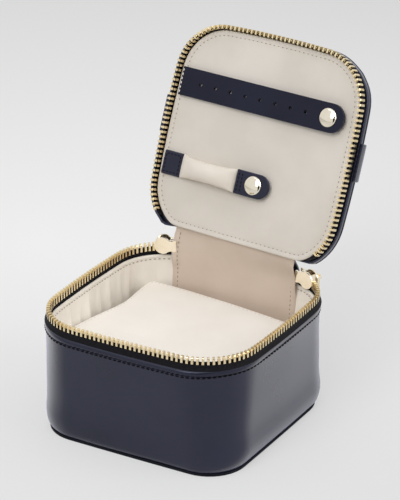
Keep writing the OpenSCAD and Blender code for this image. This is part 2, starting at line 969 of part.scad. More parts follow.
base_panel();
base_board();
body_shell();
body_board();
body_welt();
body_lining();
floor_lining();
cushion_pad();
body_zip_tape();
body_zip_teeth();
left_slider();
right_slider();
left_pull();
right_pull();
hinge_leather();
hinge_lining();
lid_gusset();
lid_top_panel();
lid_band();
lid_board();
lid_padding();
lid_lining();
lid_zip_tape();
lid_zip_teeth();
earring_strap();
earring_strap_snap_cap();
earring_strap_snap_socket();
earring_strap_snap_stud();
ring_roll_tab();
ring_roll();
ring_roll_snap_tab();
ring_roll_snap_cap();
ring_roll_snap_socket();
ring_roll_snap_stud();
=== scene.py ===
# %% [markdown]
# # A square zip case for jewellery
#
# The case is a leather box with a shallow lid. A soft hinge joins them at the back, and a metal zip
# runs round the other three sides. The solids come from the CAD source, and this script dresses
# them: it adds the soft shapes, the seams and the finishes. Every length below is in millimetres
# and is multiplied by MM on its way into Blender, which works in metres.

# %% Load the frame
import json
import math

import bmesh
import bpy
import numpy as np
from mathutils import Matrix, Vector, kdtree, noise


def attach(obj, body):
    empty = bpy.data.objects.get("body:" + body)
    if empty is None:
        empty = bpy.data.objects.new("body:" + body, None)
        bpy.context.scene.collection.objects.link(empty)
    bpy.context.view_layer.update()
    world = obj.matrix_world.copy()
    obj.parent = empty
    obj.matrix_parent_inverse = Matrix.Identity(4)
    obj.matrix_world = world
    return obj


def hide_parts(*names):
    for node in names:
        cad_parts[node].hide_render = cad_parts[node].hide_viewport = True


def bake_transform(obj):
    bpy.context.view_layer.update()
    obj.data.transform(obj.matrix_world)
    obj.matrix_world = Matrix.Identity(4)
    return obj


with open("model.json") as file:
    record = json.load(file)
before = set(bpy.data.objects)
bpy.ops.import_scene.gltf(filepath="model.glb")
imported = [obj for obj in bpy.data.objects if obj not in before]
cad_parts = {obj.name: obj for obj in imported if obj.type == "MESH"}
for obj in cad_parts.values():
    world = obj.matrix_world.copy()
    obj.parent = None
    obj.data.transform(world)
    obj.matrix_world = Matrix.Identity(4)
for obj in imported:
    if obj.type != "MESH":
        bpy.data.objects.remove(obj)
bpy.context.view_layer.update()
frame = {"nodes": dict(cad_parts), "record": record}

MM = 0.001
TOUCH = 2e-6
BODY = {n: body for body, nodes in frame["record"]["behaviour"]["bodies"].items() for n in nodes}

# %% [markdown]
# ## Camera
#
# A case like this is shown from above and from the right of its front, through a long lens that
# keeps its upright edges nearly parallel. The camera is placed by its point and its three turns:
# round the upright, down towards the case, and a touch of roll.

# %% Camera
YAW, PITCH, ROLL = (math.radians(a) for a in (29.7548, 24.4181, 0.3089))
EYE = (0.609575, -1.050906, 0.640638)
FOCAL_PX, FRAME_PX, SENSOR = 2749.652, 500, 36
back = Vector((math.sin(YAW) * math.cos(PITCH), -math.cos(YAW) * math.cos(PITCH), math.sin(PITCH)))
side = Vector((math.cos(YAW), math.sin(YAW), 0))
above = back.cross(side)
right = side * math.cos(ROLL) + above * math.sin(ROLL)
above = above * math.cos(ROLL) - side * math.sin(ROLL)
bpy.ops.object.camera_add()
camera = bpy.context.object
camera.name = "Camera"
turn = Matrix((right, above, back)).transposed().to_4x4()
camera.matrix_world = Matrix.Translation(EYE) @ turn
camera.data.lens = FOCAL_PX * SENSOR / FRAME_PX
camera.data.sensor_width = SENSOR
camera.data.clip_end = 20
bpy.context.scene.camera = camera
print("camera lens", round(camera.data.lens, 1))

# %% [markdown]
# ## Sizes shared by several pieces
#
# The zip runs along a square whose sides bow out slightly and whose corners are round. All that
# stands at the zip is given by its distance from the outer face of the teeth. The wall leans out
# from its foot to the seam under the rim. The lid is modelled shut, as in the CAD source, and then
# swung open by one matrix.

# %% Sizes and the lid's swing
# at the outer face of the teeth: half width, corner radius, and the radius of the bowed sides
ZIP_HALF, ZIP_R, BOW = 57.3, 28.5, 650.0
CORNER = 28.16  # the middle of each corner's arc, rounded
# outer wall: its top and foot, half width and corner radius at the foot, and what they gain upwards
SEAM_Z, FOOT_Z = 54.75, 1.65
WALL_HALF, WALL_R, WALL_LEAN, WALL_ROUNDER = 53.8, 20, 5.5, 10.5
# shut lid: its lining's height, how far back it reaches, and how far inside the zip it stands
LID_FACE, LID_BACK, LID_INSET = 67.6, 50.5, 1.5
TAPE_IN, TAPE_THICK = 1.1, 0.6
# points along each side and round each corner of an outline
FINE = dict(sides=24, corner=15)
CLOSE = dict(sides=32, corner=19)
OPEN, TURN = math.radians(112), math.radians(5)
slant = math.tan(TURN / 2)
hinge_dir = Vector((1, -slant, slant / math.tan(OPEN / 2)))
swing = 2 * math.acos(math.cos(TURN / 2) * math.cos(OPEN / 2))
hinge_point = Vector((0, 52.2, 70.5)) * MM
OPENED = (Matrix.Translation(hinge_point) @ Matrix.Rotation(-swing, 4, hinge_dir)
          @ Matrix.Translation(-hinge_point))
print("lid swings", round(math.degrees(swing), 2), "degrees")


# %% [markdown]
# ## Tools for modelling
#
# An operator acts on all that is selected, so each step first selects what it means to change.

# %% Selecting and editing
def deselect():
    if bpy.context.object and bpy.context.object.mode != "OBJECT":
        bpy.ops.object.mode_set(mode="OBJECT")
    bpy.ops.object.select_all(action="DESELECT")


def pick(ob):
    deselect()
    ob.select_set(True)
    bpy.context.view_layer.objects.active = ob


def open_mesh(ob):
    """Enters edit mode with the whole mesh selected."""
    pick(ob)
    bpy.ops.object.mode_set(mode="EDIT")
    bpy.ops.mesh.select_all(action="SELECT")


def close_mesh():
    bpy.ops.object.mode_set(mode="OBJECT")


def link(ob):
    bpy.context.scene.collection.objects.link(ob)
    return ob


# %% [markdown]
# ## Outlines
#
# Most pieces follow the same outline, at different distances from the zip. It is made of four flat
# arcs for the sides and four tight ones for the corners, which meet without a kink. Wear moves
# points in or out across it, eased so that no edge shows.

# %% Outlines
def ring_centre(half, r, bow):
    """How far the middle of each corner's arc lies from the case's middle, in x and in y."""
    return (math.sqrt(2 * (bow - r) ** 2 - (bow - half) ** 2) - (bow - half)) / 2


def arc(cx, cy, r, start, end, count):
    return [(cx + r * math.cos(a), cy + r * math.sin(a), a) for a in np.linspace(start, end, count)]


def square_ring(half, r, bow, z, sides=16, corner=11, cut=None):
    """Closed outline of a bowed square; cut flattens it softly behind that depth."""
    c = ring_centre(half, r, bow)
    span = math.atan(c / (c + bow - half))
    one = arc(half - bow, 0, bow, -span, span, sides)
    one += arc(c, c, r, span, math.pi / 2 - span, corner)[1:-1]
    points = []
    for co, si in ((1, 0), (0, 1), (-1, 0), (0, -1)):
        points += [(x * co - y * si, x * si + y * co, z) for x, y, _ in one]
    if cut is not None:
        soft = 0.5
        points = [(x, y if y < cut - 8 * soft else cut - soft * math.log(1 + math.exp((cut - y) / soft)), z)
                  for x, y, z in points]
    return points


def zip_ring(out, z, **more):
    return square_ring(ZIP_HALF + out, ZIP_R + out, BOW + out, z, **more)


def outwards(p):
    """Level direction away from the case's middle, across the nearest side or corner."""
    x, y = (v - math.copysign(min(abs(v), CORNER), v) for v in (p[0], p[1]))
    return Vector((x, y, 0)).normalized()


def from_middle(x, y, n):
    """How far out a point stands, measured across its side or corner."""
    return (abs(x) - CORNER) * abs(n.x) + (abs(y) - CORNER) * abs(n.y) + CORNER


def ease(low, high, value):
    """0 at low and 1 at high, with a soft start and end."""
    share = min(max((value - low) / (high - low), 0), 1)
    return share * share * (3 - 2 * share)


def wave(x, y, z, size, seed=0.0):
    """Smooth noise from -1 to 1 whose hills are about size apart."""
    return noise.noise(Vector((x / size + seed, y / size - seed, z / size + 2 * seed)))


print("corner arcs centred at", round(ring_centre(ZIP_HALF, ZIP_R, BOW), 2))

# %% [markdown]
# ## Walls and rolls
#
# By hand, a wall is a circle whose vertices are set on the outline, extruded again and again, with
# each new ring of vertices put where the profile wants it. sweep() does just that, and shape()
# then moves single vertices, for wear, folds and settling.

# %% Sweeping and shaping
def tree_of(points):
    """A quick way to find which of these points a vertex lies on."""
    tree = kdtree.KDTree(len(points))
    for i, p in enumerate(points):
        tree.insert(Vector(p) * MM, i)
    tree.balance()
    return tree


def select_near(ob, points):
    """Selects, in edit mode, the vertices that lie on these points."""
    tree = tree_of(points)
    bpy.ops.mesh.select_all(action="DESELECT")
    mesh = bmesh.from_edit_mesh(ob.data)
    for v in mesh.verts:
        v.select = tree.find(v.co)[2] < 1e-6
    mesh.select_flush(True)
    bmesh.update_edit_mesh(ob.data)


def sweep(name, rings, closed=False):
    """A circle set on the first ring and extruded to each next one; its ends are joined or filled."""
    deselect()
    bpy.ops.mesh.primitive_circle_add(vertices=len(rings[0]), radius=1)
    ob = bpy.context.object
    ob.name = ob.data.name = name
    for v, p in zip(ob.data.vertices, rings[0]):
        v.co = Vector(p) * MM
    bpy.ops.object.mode_set(mode="EDIT")
    bpy.ops.mesh.select_mode(type="VERT")
    bpy.ops.mesh.select_all(action="SELECT")
    for before, after in zip(rings, rings[1:]):
        bpy.ops.mesh.extrude_region_move()
        tree = tree_of(before)
        mesh = bmesh.from_edit_mesh(ob.data)
        for v in mesh.verts:
            if v.select:
                v.co = Vector(after[tree.find(v.co)[1]]) * MM
    if closed:
        select_near(ob, rings[0] + rings[-1])
        bpy.ops.mesh.bridge_edge_loops()
    else:
        for ring in (rings[0], rings[-1]):
            select_near(ob, ring)
            bpy.ops.mesh.edge_face_add()
    bpy.ops.mesh.select_all(action="SELECT")
    bpy.ops.mesh.normals_make_consistent(inside=False)
    close_mesh()
    return ob


def shape(ob, move):
    """Moves each vertex by a function of its place, in millimetres."""
    for v in ob.data.vertices:
        v.co = Vector(move(*(v.co / MM))) * MM
    ob.data.update()


# %% [markdown]
# ## Finishing a piece
#
# A finished piece is smoothed by angle, takes its material and rides on its body. What is right in
# the CAD source already is copied, merged and given rounded edges, since no real edge is sharp.

# %% Finishing
def modify(ob, kind, **settings):
    """Adds a modifier with these settings and applies it."""
    pick(ob)
    modifier = ob.modifiers.new(kind.title().replace("_", ""), kind)
    for key, value in settings.items():
        setattr(modifier, key, value)
    bpy.ops.object.modifier_apply(modifier=modifier.name)
    return ob


def dress(ob, material):
    """Gives a piece this one material."""
    ob.data.materials.clear()
    ob.data.materials.append(material)


def done(ob, body, material, smooth=40, stands_for=()):
    """Smooths a finished piece, gives it its finish and lets it ride."""
    pick(ob)
    bpy.ops.object.shade_smooth_by_angle(angle=math.radians(smooth))
    dress(ob, material)
    if body:
        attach(ob, body)
    if stands_for:
        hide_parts(*stands_for)
    print(ob.name, len(ob.data.polygons), "faces on", body)


def stand_in(ob, node, material, smooth=40):
    """Finishes a piece that takes the place of a CAD node."""
    done(ob, BODY[node], material, smooth, (node,))


def softened(node, material, width, name, angle=30, segments=2):
    """A copy of a CAD node, merged and with its edges rounded, that stands for it."""
    ob = link(bpy.data.objects.new(name, frame["nodes"][node].data.copy()))
    open_mesh(ob)
    bpy.ops.mesh.remove_doubles(threshold=TOUCH)
    bpy.ops.mesh.dissolve_limited(angle_limit=math.radians(1.5))
    close_mesh()
    modify(ob, "BEVEL", width=width * MM, segments=segments, limit_method="ANGLE",
           angle_limit=math.radians(angle), use_clamp_overlap=True)
    stand_in(ob, node, material)
    return modify(ob, "WEIGHTED_NORMAL", mode="FACE_AREA", keep_sharp=True)


# %% [markdown]
# ## Finishes
#
# The outside is smooth calf leather, dyed navy and polished: dark, with a soft gloss and a grain
# that is only just seen. The linings are a pale leather-like cloth with a fine tooth. The zip is
# black tape with pale gold metal. Each finish is a Principled shader with its colour and bump from
# noise on Object coordinates, so that the pattern sits still on the piece.

# %% Material helpers
def tone(*screen):
    """Colour as seen on a screen, 0 to 255, to the linear one that a shader takes."""
    linear = (((c / 255 + 0.055) / 1.055) ** 2.4 if c > 10 else c / 255 / 12.92 for c in screen)
    return tuple(linear) + (1,)


def add(tree, kind):
    return tree.nodes.new("ShaderNode" + kind)


def give(node, **values):
    """Sets inputs of a node by their names, with _ for each space."""
    for key, value in values.items():
        node.inputs[key.replace("_", " ")].default_value = value


def start_material(name, roughness, metallic=0.0, specular=0.5, sheen=0.0):
    material = bpy.data.materials.new(name)
    material.use_nodes = True
    shader = material.node_tree.nodes["Principled BSDF"]
    give(shader, Roughness=roughness, Metallic=metallic, Specular_IOR_Level=specular, Sheen_Weight=sheen)
    return material, material.node_tree, shader


def pattern(tree, kind, stretch=(1, 1, 1), shift=(0, 0, 0), **settings):
    """A texture on Object coordinates, moved and stretched by a Mapping node."""
    place = add(tree, "TexCoord")
    mapping = add(tree, "Mapping")
    give(mapping, Location=shift, Scale=stretch)
    texture = add(tree, "Tex" + kind)
    for key, value in settings.items():
        if key in texture.inputs:
            texture.inputs[key].default_value = value
        else:
            setattr(texture, key, value)
    tree.links.new(place.outputs["Object"], mapping.inputs["Vector"])
    tree.links.new(mapping.outputs["Vector"], texture.inputs["Vector"])
    return texture.outputs[0]


def blend_colours(tree, shader, factor, dark, light, low=0.35, high=0.65):
    ramp = add(tree, "ValToRGB")
    ramp.color_ramp.elements[0].position, ramp.color_ramp.elements[0].color = low, dark
    ramp.color_ramp.elements[1].position, ramp.color_ramp.elements[1].color = high, light
    tree.links.new(factor, ramp.inputs["Fac"])
    tree.links.new(ramp.outputs["Color"], shader.inputs["Base Color"])
    return ramp


def spread(tree, factor, socket, low, high, start=0.0, end=1.0):
    """A Map Range node that takes start to end on to low to high, and feeds a socket."""
    node = add(tree, "MapRange")
    give(node, From_Min=start, From_Max=end, To_Min=low, To_Max=high)
    tree.links.new(factor, node.inputs["Value"])
    tree.links.new(node.outputs["Result"], socket)


def raise_bumps(tree, shader, *layers):
    """Stacks bump nodes: each layer is (height, strength, depth in millimetres)."""
    last = None
    for height, strength, depth in layers:
        bump = add(tree, "Bump")
        give(bump, Strength=strength, Distance=depth * MM)
        tree.links.new(height, bump.inputs["Height"])
        if last:
            tree.links.new(last, bump.inputs["Normal"])
        last = bump.outputs["Normal"]
    tree.links.new(last, shader.inputs["Normal"])


# %% Leather finishes
def leather(name, dark, light, low, high, polish=1.0, specular=0.5, gleam=0.36):
    """Polished leather gleams at a glancing angle, so its clear coat comes in as it turns away."""
    material, tree, shader = start_material(name, low, specular=specular, sheen=0.22 * polish)
    give(shader, Specular_Tint=(0.7, 0.74, 1.0, 1), Coat_IOR=1.75, Coat_Roughness=0.16)
    give(shader, Sheen_Roughness=0.3, Sheen_Tint=(0.22, 0.3, 1.0, 1))
    if polish:
        turned = add(tree, "LayerWeight").outputs["Facing"]
        spread(tree, turned, shader.inputs["Coat Weight"], 0.0, polish, gleam, gleam + 0.28)
    cloud = pattern(tree, "Noise", Scale=45, Detail=4.0)
    cells = pattern(tree, "Voronoi", Scale=1500, feature="SMOOTH_F1")
    creases = pattern(tree, "Noise", Scale=420, Detail=3.0)
    blend_colours(tree, shader, cloud, dark, light)
    spread(tree, cloud, shader.inputs["Roughness"], low, high)
    raise_bumps(tree, shader, (creases, 0.2, 0.05), (cells, 0.2, 0.05))
    return material


navy_leather = leather("navy_leather", tone(21, 22, 34), tone(27, 28, 42), 0.24, 0.34, specular=0.62)
rim_leather = leather("rim_leather", tone(19, 20, 31), tone(25, 26, 39), 0.24, 0.32, gleam=0.3)
strap_leather = leather("strap_leather", tone(19, 20, 32), tone(25, 26, 40), 0.42, 0.52,
                        polish=0.3, specular=0.28)
tab_leather = leather("tab_leather", tone(24, 25, 37), tone(31, 32, 46), 0.34, 0.42,
                      polish=0.6, specular=0.45, gleam=0.2)
leather_edge = leather("leather_edge", tone(9, 9, 13), tone(15, 15, 20), 0.5, 0.65,
                       polish=0.0, specular=0.2)
print("leather finishes", navy_leather.name, strap_leather.name, leather_edge.name)


# %% Cloth finishes
def cloth(name, dark, light, roughness, tooth=0.35, sheen=0.15, size=900):
    material, tree, shader = start_material(name, roughness, sheen=sheen, specular=0.35)
    cloud = pattern(tree, "Noise", Scale=38, Detail=5.0)
    weft = pattern(tree, "Noise", Scale=size, stretch=(0.35, 1, 1), Detail=2.0)
    warp = pattern(tree, "Noise", Scale=size, stretch=(1, 0.35, 0.35), Detail=2.0)
    blend_colours(tree, shader, cloud, dark, light)
    raise_bumps(tree, shader, (weft, tooth, 0.06), (warp, tooth, 0.06))
    return material


lid_cloth = cloth("lid_lining_cloth", tone(214, 207, 197), tone(223, 216, 207), 0.7)
wall_cloth = cloth("wall_lining_cloth", tone(234, 227, 216), tone(240, 234, 224), 0.5,
                   tooth=0.2, sheen=0.2)
# The hinge panel is the lid lining's cloth with painted shade. It is darker and pinker to stand for the shade
# and warm bounce light it sits in.
panel_cloth_painted_shade = cloth("hinge_panel_cloth_painted_shade", tone(206, 188, 172), tone(213, 196, 181), 0.6)
cream_cloth = cloth("cushion_cloth", tone(236, 230, 222), tone(241, 236, 229), 0.55, tooth=0.2)
roll_cloth = cloth("ring_roll_cloth", tone(224, 215, 203), tone(231, 223, 212), 0.5, tooth=0.2)
foam = cloth("charcoal_foam", tone(30, 29, 32), tone(40, 39, 42), 0.9, tooth=0.6, size=500)
print("cloth finishes", lid_cloth.name, wall_cloth.name, panel_cloth_painted_shade.name, cream_cloth.name)


# %% Tape, thread, metal and board finishes
def tape_finish():
    material, tree, shader = start_material("zip_tape_weave", 0.8, sheen=0.03, specular=0.12)
    rows = pattern(tree, "Wave", Scale=420, stretch=(0.15, 0.15, 1), Distortion=1.5)
    threads = pattern(tree, "Noise", Scale=1600, Detail=2.0)
    blend_colours(tree, shader, threads, tone(13, 12, 15), tone(27, 25, 30))
    raise_bumps(tree, shader, (rows, 0.5, 0.08), (threads, 0.4, 0.05))
    return material


def thread(name, dark, light, sheen=0.2, specular=0.5):
    material, tree, shader = start_material(name, 0.6, sheen=sheen, specular=specular)
    twist = pattern(tree, "Wave", Scale=900, stretch=(1, 1, 1.4), Distortion=0.5)
    blend_colours(tree, shader, twist, dark, light)
    raise_bumps(tree, shader, (twist, 0.5, 0.05))
    return material


def metal(name, dark, light, low, high, wear=0.1):
    material, tree, shader = start_material(name, low, metallic=1.0)
    cloud = pattern(tree, "Noise", Scale=140, Detail=4.0)
    scuffs = pattern(tree, "Noise", Scale=1100, stretch=(1, 1, 0.3), Detail=3.0)
    blend_colours(tree, shader, cloud, dark, light)
    spread(tree, scuffs, shader.inputs["Roughness"], low, high)
    raise_bumps(tree, shader, (scuffs, wear, 0.01))
    return material


zip_tape = tape_finish()
navy_thread = thread("navy_thread", tone(3, 3, 6), tone(8, 8, 12), sheen=0.0, specular=0.08)
beige_thread = thread("beige_thread", tone(128, 110, 94), tone(156, 138, 120))
cream_thread = thread("cream_thread", tone(196, 184, 170), tone(212, 201, 188))
white_thread = thread("white_thread", tone(225, 222, 215), tone(245, 243, 238))
gold = metal("pale_gold", tone(236, 216, 172), tone(246, 230, 192), 0.2, 0.34)
plate_gold = metal("slider_gold", tone(250, 238, 214), tone(254, 245, 226), 0.16, 0.24, wear=0.02)
cap_gold = metal("polished_gold", tone(240, 230, 210), tone(247, 239, 222), 0.03, 0.06, wear=0.01)
board, board_tree, board_shader = start_material("grey_board", 0.9)
fibres = pattern(board_tree, "Noise", Scale=600, Detail=4.0)
blend_colours(board_tree, board_shader, fibres, tone(128, 120, 108), tone(160, 152, 138))
print("metal finishes", gold.name, plate_gold.name, cap_gold.name)

# %% [markdown]
# ## Base and outer wall
#
# The wall is one strip of leather round a stiff board. It leans out from the base to the rim,
# tucks in sharply where it meets the base panel, and bellies a little just above it. The base panel
# is cut a hair larger, so that its dark edge shows as a thin line under the wall.

# %% Base panel
BASE_HALF, BASE_BOW = 54, 5 * BOW
profile = [(50, 0.0), (53.1, 0.0), (53.5, 0.15), (53.7, 0.5), (53.7, 1.1), (53.5, 1.5), (53.0, 1.62),
           (50, 1.62)]
rings = [square_ring(half, WALL_R + half - BASE_HALF, BASE_BOW, z) for half, z in profile]
base = sweep("base_panel_leather", rings)
stand_in(base, "base_panel", leather_edge)


# %% Outer wall
# how far the rim has drawn in; how far the foot has sagged out, at what height and how widely;
# and the height from which the sag is whole
RIGHT_WEAR, LEFT_WEAR = (1.75, 1.35, 9.5, 8, 5), (1.35, 0.75, 8, 9, 4)
INNER_FACE, BOARD_DEPTH = 1.3, 2.0


def sideways(n):
    """1 on the left and right walls, 0 at the front and back."""
    return ease(0.25, 0.8, abs(n.x))


def worn(x, y, z):
    """The leather's sides have drawn in at the rim and sagged out at the foot with use."""
    n = outwards((x, y, 0))
    drawn, sag, height, width, whole = RIGHT_WEAR if n.x > 0 else LEFT_WEAR
    sag *= math.exp(-((z - height) / width) ** 2) * ease(1.5, whole, z)
    move = (sag - drawn * ease(18, 55, z)) * sideways(n)
    return (x + n.x * move, y + n.y * move, z)


def up_wall(z):
    """0 at the wall's foot and 1 at the seam."""
    return (z - FOOT_Z) / (SEAM_Z - FOOT_Z)


def wall_ring(z, out=0.0):
    share = up_wall(z)
    belly = 0.5 * math.exp(-((z - 8.5) / 6) ** 2) - 0.7 * math.exp(-(z - FOOT_Z) / 0.8)
    half, r = WALL_HALF + share * WALL_LEAN + belly + out, WALL_R + share * WALL_ROUNDER + belly + out
    return square_ring(half, r, BOW / max(share, 0.2), z, **FINE)


levels = [FOOT_Z, 2.0, 2.5, 3.2, 4.5, 6.5, 9, 12, 16, 21, 27, 33, 39, 45, 50, 53, 53.8, 54.15]
rings = [wall_ring(z) for z in levels] + [wall_ring(54.4, -0.3), wall_ring(SEAM_Z - 0.1, -0.85)]
rings += [wall_ring(z, -INNER_FACE) for z in (SEAM_Z - 0.1, 50, 33, 12, FOOT_Z)]
wall = sweep("outer_wall_leather", rings, closed=True)
shape(wall, lambda x, y, z: (x + 0.25 * wave(x, y, z, 30), y + 0.25 * wave(y, z, x, 30, 5), z))
shape(wall, worn)
stand_in(wall, "body_shell", navy_leather)
wall_board = softened("body_board", board, 0.15, "wall_board")


def follow(x, y, z):
    """The board behind the leather goes with it, and stays in front of the lining."""
    n = outwards((x, y, 0))
    outer = from_middle(x, y, n) > WALL_HALF + up_wall(z) * WALL_LEAN - BOARD_DEPTH
    leather_move = (Vector(worn(x, y, z)) - Vector((x, y, z))).dot(n)
    move = min(leather_move, 0) * (1.08 if outer else 0.5)
    return (x + n.x * move, y + n.y * move, z)


shape(wall_board, follow)

# %% [markdown]
# ## Stitches
#
# A stitch is a short bead of thread that sinks at both ends. One small sphere is smoothed and
# stretched, and copied along each seam at an even pitch into one light mesh.

# %% Stitches
def from_points(name, points, faces, matrix=None, merge=0.0):
    """A new object from points in metres, with its faces turned outwards."""
    mesh = bpy.data.meshes.new(name)
    mesh.from_pydata(points, [], faces)
    if matrix is not None:
        mesh.transform(matrix)
    ob = link(bpy.data.objects.new(name, mesh))
    open_mesh(ob)
    if merge:
        bpy.ops.mesh.remove_doubles(threshold=merge)
    bpy.ops.mesh.normals_make_consistent(inside=False)
    close_mesh()
    return ob


def walk(points, pitch):
    """Evenly spaced (point, direction) along a line of points."""
    p = np.array(points, float)
    steps = np.linalg.norm(np.diff(p, axis=0), axis=1)
    at = np.r_[0, np.cumsum(steps)]
    count = max(int(round(at[-1] / pitch)), 1)
    spots = []
    for s in (np.arange(count) + 0.5) * at[-1] / count:
        i = min(np.searchsorted(at, s) - 1, len(steps) - 1)
        d = (p[i + 1] - p[i]) / steps[i]
        spots.append((p[i] + d * (s - at[i]), d))
    return spots


def stitches(name, spots, out_of, body, material, length=1.5, thick=0.34, matrix=None):
    """One mesh of equal stitches; out_of(point) gives the direction that each faces."""
    deselect()
    bpy.ops.mesh.primitive_ico_sphere_add(subdivisions=1, radius=1)
    one = bpy.context.object
    modify(one, "SUBSURF", levels=1, render_levels=1)
    bead = np.array([v.co for v in one.data.vertices])
    bead /= np.abs(bead).max()
    bead_faces = [tuple(f.vertices) for f in one.data.polygons]
    bpy.data.objects.remove(one)
    points, faces = [], []
    for p, along in spots:
        out = Vector(out_of(p)).normalized()
        along = Vector(along).normalized()
        across = out.cross(along).normalized()
        faces += [tuple(len(points) + i for i in f) for f in bead_faces]
        for b in bead:
            local = along * (b[0] * length / 2) + across * (b[1] * thick / 2) + out * (b[2] * thick / 2)
            points.append((Vector(p) + local) * MM)
    row = from_points(name, points, faces, matrix)
    done(row, body, material)
    return row


# %% [markdown]
# ## Rolled rim
#
# Above a row of stitches the wall's leather is turned over a cord, which makes the round edge that
# catches the light under the zip. The roll is a closed profile swept round the outline, and its
# stitches are one small shape copied along the seam.

# %% Rim roll and its stitches
RIM_IN, RIM_SEAM = 0.65, (2.05, SEAM_Z - 0.75)
# each point is (distance out from the zip's outer face, height)
profile = [(-RIM_IN, 55.0), (-0.6, 56.9), (-0.2, 57.15), (0.4, 57.3), (1.0, 57.28), (1.5, 57.05),
           (1.86, 56.6), (1.98, 56.0), (1.95, 55.4), (1.88, 54.95), (1.7, 54.75), (0.4, 54.7)]
rim = sweep("rim_roll_leather", [zip_ring(o, z, **FINE) for o, z in profile], closed=True)


def drawn_in(x, y, z):
    """The rim is drawn in with the wall below it, but its inner edge stays at the zip."""
    n = outwards((x, y, 0))
    out = from_middle(x, y, n) - ZIP_HALF
    move = -(0.65 if n.x > 0 else 0.5) * max(out + RIM_IN, 0) * sideways(n)
    return (x + n.x * move, y + n.y * move, z)


shape(rim, drawn_in)
stand_in(rim, "body_welt", rim_leather, smooth=60)
seam = [worn(*p) for p in zip_ring(*RIM_SEAM, **FINE)]
stitches("rim_stitches", walk(seam + seam[:1], 2.6), outwards, "case", navy_thread,
         length=2.1, thick=0.8)

# %% [markdown]
# ## Zip tapes
#
# The two tapes are narrow strips on edge. Each follows the outline, and the case's tape runs
# straight on into the sliders at both ends. A strip is a flat cross-section extruded along its path,
# so its ends stay square. In front of the case's teeth the tape is folded down to the rim.


# %% Zip path and tapes
def zip_path(inset, end):
    """Open path of (x, y, facing) round the front, from the left back corner to the right one."""
    c = ring_centre(ZIP_HALF, ZIP_R, BOW)
    span, r, bow = math.atan(c / (c + BOW - ZIP_HALF)), ZIP_R - inset, BOW - inset
    quarter = math.pi / 2
    path = arc(-c, c, r, 2 * quarter - end, 2 * quarter - span, 10)
    for k, (sx, sy) in enumerate(((-1, 0), (0, -1), (1, 0))):
        middle, x, y = (k + 2) * quarter, sx * (ZIP_HALF - BOW), sy * (ZIP_HALF - BOW)
        path += arc(x, y, bow, middle - span, middle + span, 30)[1:-1]
        if k < 2:
            corner = middle + quarter / 2
            path += arc(math.copysign(c, math.cos(corner)), -c, r, middle + span, middle + quarter - span, 15)
    return path + arc(c, c, r, 4 * quarter + span, 4 * quarter + end, 10)


def strip(name, path):
    """A cross-section of eight points extruded along (x, y, facing, low, high)."""
    rings = []
    for x, y, facing, low, high in path:
        co, si, h = math.cos(facing), math.sin(facing), TAPE_THICK / 2
        section = [(h, low + 0.1), (h, (low + high) / 2), (h, high - 0.1), (h * 0.4, high)]
        section += [(-o, z) for o, z in reversed(section)]
        rings.append([(x + co * o, y + si * o, z) for o, z in section])
    return sweep(name, rings)


# heights of the tapes' edges, and how many degrees each tape turns at its last corner
TAPE_FOOT, TAPE_EDGE, TAIL_FOOT, LID_TAPE = 51.8, 61.5, 57.4, (66.0, 72.4)
CASE_BEND, LID_BEND, TAIL_BEND = 56, 46, 18
SLIDER_YAW, TAIL, FOLD_END = math.radians(16), 8.4, 47.5
case_path = [(x, y, a, TAPE_FOOT, TAPE_EDGE) for x, y, a in zip_path(TAPE_IN, math.radians(CASE_BEND))]
bend_x, bend_y = case_path[-1][:2]
tail = []
for share in (0.08, 0.2, 0.4, 0.7, 1.0):
    facing = math.radians(CASE_BEND + TAIL_BEND * min(share * 2.5, 1))
    x, y = bend_x - TAIL * share * math.cos(SLIDER_YAW), bend_y + TAIL * share * math.sin(SLIDER_YAW)
    tail.append((x, y, facing, TAIL_FOOT, TAPE_EDGE))
left_tail = [(-x, y, math.pi - a, low, high) for x, y, a, low, high in reversed(tail)]
case_tape = strip("case_zip_tape", left_tail + case_path + tail)
stand_in(case_tape, "body_zip_tape", zip_tape)
fold = [(0.9, 57.25), (0.55, 57.9), (0.3, 58.8), (0.16, 60.0), (0.1, 60.3), (-0.02, 60.35), (-0.06, 60.0),
        (-0.06, 58.8), (-0.06, 57.6), (0.1, 57.25)]
tape_fold = sweep("case_tape_fold", [zip_ring(o, z, **FINE) for o, z in fold], closed=True)
open_mesh(tape_fold)
bpy.ops.mesh.bisect(plane_co=(0, FOLD_END * MM, 0), plane_no=(0, 1, 0), clear_outer=True, use_fill=True)
close_mesh()
done(tape_fold, "case", zip_tape)
lid_path = [(x, y, a, *LID_TAPE) for x, y, a in zip_path(LID_INSET + TAPE_IN, math.radians(LID_BEND))]
lid_tape = strip("lid_zip_tape_weave", lid_path)
lid_tape.data.transform(OPENED)
stand_in(lid_tape, "lid_zip_tape", zip_tape)

# %% [markdown]
# ## Zip teeth, sliders and pulls
#
# The teeth are right as they come from the CAD source, so they only take the metal. At each end of
# the case's row two more are spun from the last one, to close the gap before the slider. The
# sliders, pulls and snaps are copied, merged and given small rounded edges, which is what makes
# turned and stamped metal catch the light.

# %% Metal pieces
for node in ("body_zip_teeth", "lid_zip_teeth"):
    dress(frame["nodes"][node], gold)
    print(node, len(frame["nodes"][node].data.polygons), "faces")
# round the corner: from one tooth to the next, and across one tooth
TOOTH_STEP, TOOTH_SPAN = math.radians(4.55), math.radians(3.4)


def last_tooth(node):
    """The triangles of the tooth at the right end of a row."""
    mesh = frame["nodes"][node].data
    points = np.array([v.co for v in mesh.vertices]) / MM
    corners = np.array([[points[i] for i in f.vertices] for f in mesh.polygons if len(f.vertices) == 3])
    middle = corners.mean(axis=1)
    best = middle[np.argmax(middle[:, 1] + (middle[:, 0] > 0) * 100)]
    near = np.linalg.norm(middle[:, :2] - best[:2], axis=1) < 2.6
    turn = np.arctan2(middle[:, 1] - CORNER, middle[:, 0] - CORNER)
    return corners[near & (turn > turn[near].max() - TOOTH_SPAN)]


